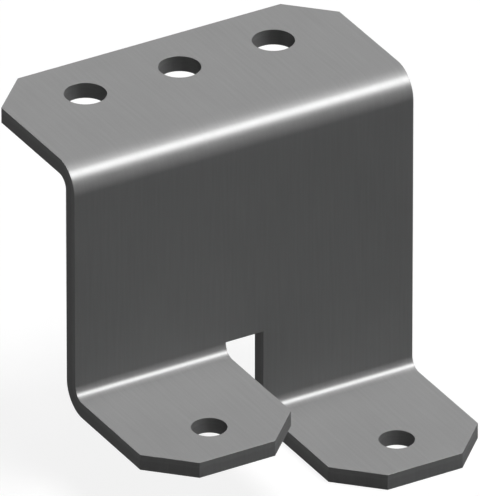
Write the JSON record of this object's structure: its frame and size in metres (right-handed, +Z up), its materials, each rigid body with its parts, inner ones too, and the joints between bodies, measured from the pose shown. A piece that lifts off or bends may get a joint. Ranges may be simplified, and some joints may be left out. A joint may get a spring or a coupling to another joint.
{
  "type": "stamped metal bracket",
  "caption": "Z-shaped bracket folded from thick steel sheet: a drilled top flange, an upright web, and two drilled tabs at different heights, with cut corners.",
  "frame": {"origin": "centre of the flange's middle hole, on the flange's top face", "axes": "+X from the flange towards the tabs, square to the web; +Y along the bracket, from the short leg to the long leg; +Z up, out of the flange's top face"},
  "size_m": [0.084, 0.09, 0.082],
  "materials": {
    "steel": "satin"
  },
  "bodies": {
    "root": {"bracket": "steel"}
  },
  "joints": []
}
